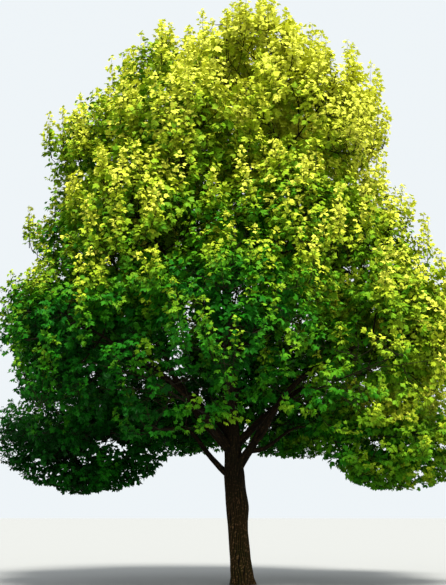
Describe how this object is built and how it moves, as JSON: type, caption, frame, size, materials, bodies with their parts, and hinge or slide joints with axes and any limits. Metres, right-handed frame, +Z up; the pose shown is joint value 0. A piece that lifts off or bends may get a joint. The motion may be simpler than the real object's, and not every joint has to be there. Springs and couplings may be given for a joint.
{
  "type": "maple tree",
  "caption": "Broadleaf maple tree in full summer leaf: a leaning trunk with root flare, forked boughs and a broad round crown in masses of foliage.",
  "frame": {"origin": "middle of the flat cut under the trunk, at ground level", "axes": "+Z up the trunk; +X to the right of the picture; +Y away from the viewer"},
  "size_m": [10.4637, 10.7206, 12.5943],
  "materials": {
    "bark": "rough furrowed bark",
    "leaves_deep": "soft matt leaves, deep green in shade",
    "leaves_mid": "soft matt leaves, mid green",
    "leaves_green": "soft matt leaves, clear green",
    "leaves_fresh": "soft matt leaves, fresh yellow-green",
    "leaves_gold": "soft matt leaves, golden green in sun"
  },
  "bodies": {
    "root": {"bough_shoulder_1": "bark", "bough_shoulder_2": "bark", "bough_shoulder_3": "bark", "bough_shoulder_4": "bark", "bough_shoulder_5": "bark", "bough_shoulder_6": "bark", "bough_skirt_1": "bark", "bough_skirt_2": "bark", "bough_skirt_3": "bark", "bough_skirt_4": "bark", "bough_skirt_5": "bark", "bough_skirt_6": "bark", "bough_top_1": "bark", "bough_top_2": "bark", "bough_top_3": "bark", "bough_upper_1": "bark", "bough_upper_2": "bark", "bough_upper_3": "bark", "bough_upper_4": "bark", "bough_upper_5": "bark", "bough_waist_1": "bark", "bough_waist_2": "bark", "bough_waist_3": "bark", "bough_waist_4": "bark", "bough_waist_5": "bark", "bough_waist_6": "bark", "foliage_shoulder_1": "leaves_green", "foliage_shoulder_2": "leaves_green", "foliage_shoulder_3": "leaves_green", "foliage_shoulder_4": "leaves_green", "foliage_shoulder_5": "leaves_green", "foliage_shoulder_6": "leaves_green", "foliage_skirt_1": "leaves_deep", "foliage_skirt_2": "leaves_deep", "foliage_skirt_3": "leaves_deep", "foliage_skirt_4": "leaves_deep", "foliage_skirt_5": "leaves_deep", "foliage_skirt_6": "leaves_deep", "foliage_tip": "leaves_gold", "foliage_top_1": "leaves_gold", "foliage_top_2": "leaves_gold", "foliage_top_3": "leaves_gold", "foliage_upper_1": "leaves_fresh", "foliage_upper_2": "leaves_fresh", "foliage_upper_3": "leaves_fresh", "foliage_upper_4": "leaves_fresh", "foliage_upper_5": "leaves_fresh", "foliage_waist_1": "leaves_mid", "foliage_waist_2": "leaves_mid", "foliage_waist_3": "leaves_mid", "foliage_waist_4": "leaves_mid", "foliage_waist_5": "leaves_mid", "foliage_waist_6": "leaves_mid", "trunk": "bark"}
  },
  "joints": []
}
